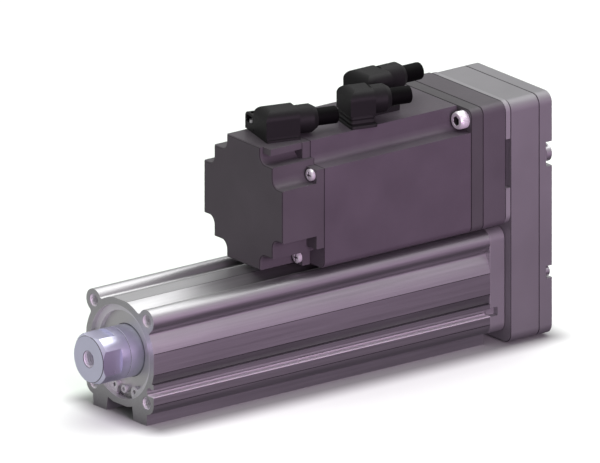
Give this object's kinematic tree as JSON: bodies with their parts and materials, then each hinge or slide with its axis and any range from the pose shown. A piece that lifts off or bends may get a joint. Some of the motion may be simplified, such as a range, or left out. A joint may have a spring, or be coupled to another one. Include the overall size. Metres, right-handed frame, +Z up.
{
  "type": "electric cylinder",
  "caption": "Rod-type electric cylinder: square extruded body, flatted rod end with tapped hole, belt box at the rear and a servo motor folded back over the body.",
  "frame": {"origin": "centre of the front mounting face, on the rod's axis", "axes": "+X the way the rod comes out, +Z up from the feet towards the motor, +Y to the left when seen from the rear"},
  "size_m": [0.2485, 0.0621, 0.1382],
  "materials": {
    "anodised_body": "satin anodised extrusion",
    "anodised_box": "satin anodised, machined",
    "pale_plate": "machined",
    "bare_steel": "ground",
    "bright_screws": "bright zinc",
    "chrome_rod": "hard chrome, polished",
    "dark_motor": "satin black",
    "black_plastic": "fine moulded grain",
    "black_rubber": "matt",
    "bronze": "oiled bronze",
    "copper": "enamelled wire",
    "magnet": "plated",
    "board": "solder mask",
    "bearing_plastic": "filled resin"
  },
  "bodies": {
    "body": {"body_tube": "anodised_body", "rod_cover": "pale_plate", "rod_seal": "black_rubber", "rod_bushing": "bronze", "retaining_ring": "bare_steel", "ring_lock_screw": "bright_screws", "rear_bumper": "black_rubber", "bearing_housing": "anodised_box", "screw_bearing_outer": "bare_steel", "bearing_stopper": "bare_steel", "bearing_stopper_screws": "bright_screws", "timing_belt": "black_rubber", "return_box": "anodised_box", "return_cover": "anodised_box", "cover_corner_screws": "bright_screws", "cover_side_screws": "bright_screws", "cover_small_screws": "bright_screws", "body_bolts": "bright_screws", "tension_plate": "pale_plate", "motor_adapter": "dark_motor", "adapter_screws": "bright_screws", "motor_flange": "dark_motor", "motor_flange_screws": "bright_screws", "motor_housing": "dark_motor", "stator_core": "magnet", "stator_windings": "copper", "motor_bearing_outer": "bare_steel", "brake_coil": "bare_steel", "encoder_board": "board", "encoder_cover": "dark_motor", "encoder_cover_screws": "bright_screws", "encoder_receptacle": "black_plastic", "encoder_plug": "black_plastic", "encoder_plug_screw": "bright_screws", "brake_receptacle": "black_plastic", "brake_plug": "black_plastic", "power_receptacle": "black_plastic", "power_plug": "black_plastic", "lead_stubs": "black_rubber"},
    "rod": {"piston_rod": "chrome_rod", "rod_socket": "chrome_rod", "piston": "anodised_body", "piston_wear_ring": "bearing_plastic", "piston_magnet": "magnet", "rotation_stopper": "bearing_plastic", "ball_nut": "bare_steel"},
    "screw": {"ball_screw": "bare_steel", "screw_tip_bush": "bearing_plastic", "screw_bearing_inner": "bare_steel", "screw_pulley": "anodised_box", "screw_pulley_nut": "bright_screws"},
    "rotor": {"motor_shaft": "bare_steel", "rotor_magnets": "magnet", "motor_bearing_inner": "bare_steel", "motor_pulley": "anodised_box", "motor_pulley_set_screw": "bright_screws", "brake_disc": "bare_steel", "encoder_disc": "pale_plate"},
    "armature": {"brake_armature": "bare_steel"}
  },
  "joints": [
    {"name": "rod_slide", "type": "slide", "parent": "body", "child": "rod", "axis": [1, 0, 0], "range_m": [0, 0.1]},
    {"name": "screw_spin", "type": "hinge", "parent": "body", "child": "screw", "pos_m": [-0.1, 0, 0], "axis": [-1, 0, 0], "range_deg": [0, 3600]},
    {"name": "motor_spin", "type": "hinge", "parent": "body", "child": "rotor", "pos_m": [-0.15, 0, 0.05843], "axis": [-1, 0, 0], "range_deg": [0, 4500], "deforming": ["timing_belt"]},
    {"name": "brake_release", "type": "slide", "parent": "body", "child": "armature", "axis": [1, 0, 0], "range_m": [0, 0.00025]}
  ],
  "couplings": [
    {"joint": "screw_spin", "follows": "rod_slide", "rad_per_m": 628.32},
    {"joint": "motor_spin", "follows": "rod_slide", "rad_per_m": 785.4}
  ]
}
